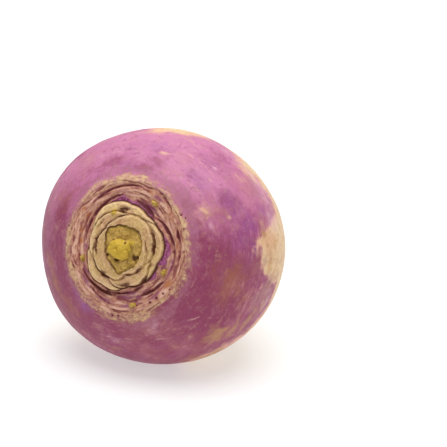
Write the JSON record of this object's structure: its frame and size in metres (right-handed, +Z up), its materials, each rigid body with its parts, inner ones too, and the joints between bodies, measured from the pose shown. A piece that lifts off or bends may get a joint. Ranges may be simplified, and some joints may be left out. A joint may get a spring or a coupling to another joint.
{
  "type": "turnip",
  "caption": "Whole purple-topped turnip with trimmed leaves and a short tap root, lying on its side on a small flat spot.",
  "frame": {"origin": "on the small flat spot the turnip lies on, under its weight", "axes": "+Z up; the crown with its cut leaf bases faces -Y and about 20 degrees up, the tap root points to +Y"},
  "size_m": [0.0904, 0.0858, 0.0816],
  "materials": {
    "turnip_skin": "satin",
    "cut_leaf_base": "matte",
    "heart_green": "matte"
  },
  "bodies": {
    "root": {"turnip_root": "turnip_skin", "leaf_bases": "cut_leaf_base", "heart_bud": "heart_green"}
  },
  "joints": []
}
